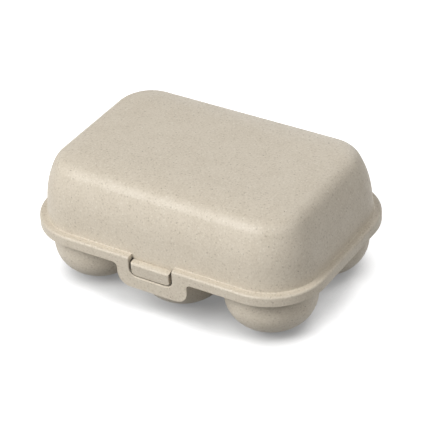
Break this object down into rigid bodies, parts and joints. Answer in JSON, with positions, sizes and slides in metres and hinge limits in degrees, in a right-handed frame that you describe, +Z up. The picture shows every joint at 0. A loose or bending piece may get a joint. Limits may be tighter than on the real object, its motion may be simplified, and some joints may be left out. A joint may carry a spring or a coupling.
{
  "type": "egg carrier",
  "caption": "Domed hinged box that carries eggs upright in round cups, closed by a snap latch at the front.",
  "frame": {"origin": "centre of the footprint, on the surface that the cups stand on", "axes": "+X along the carrier, -Y to the latch side, +Z up"},
  "size_m": [0.2, 0.1444, 0.0874],
  "materials": {
    "carrier_plastic": "matte, fine dark flecks"
  },
  "bodies": {
    "base": {"base_tray": "carrier_plastic", "egg_cup_front_left": "carrier_plastic", "egg_cup_front_middle": "carrier_plastic", "egg_cup_front_right": "carrier_plastic", "egg_cup_rear_left": "carrier_plastic", "egg_cup_rear_middle": "carrier_plastic", "egg_cup_rear_right": "carrier_plastic", "latch_catch": "carrier_plastic", "hinge_pin_left": "carrier_plastic", "hinge_pin_right": "carrier_plastic"},
    "lid": {"lid_shell": "carrier_plastic"},
    "latch": {"latch_flap": "carrier_plastic"}
  },
  "joints": [
    {"name": "lid_hinge", "type": "hinge", "parent": "base", "child": "lid", "pos_m": [0, 0.0692, 0.0345], "axis": [-1, 0, 0], "range_deg": [0, 110], "deforming": ["latch_flap"]},
    {"name": "latch_flex", "type": "hinge", "parent": "lid", "child": "latch", "pos_m": [0, -0.0722, 0.0373], "axis": [-1, 0, 0], "range_deg": [0, 20], "stiffness_Nm_per_rad": 0.05}
  ]
}
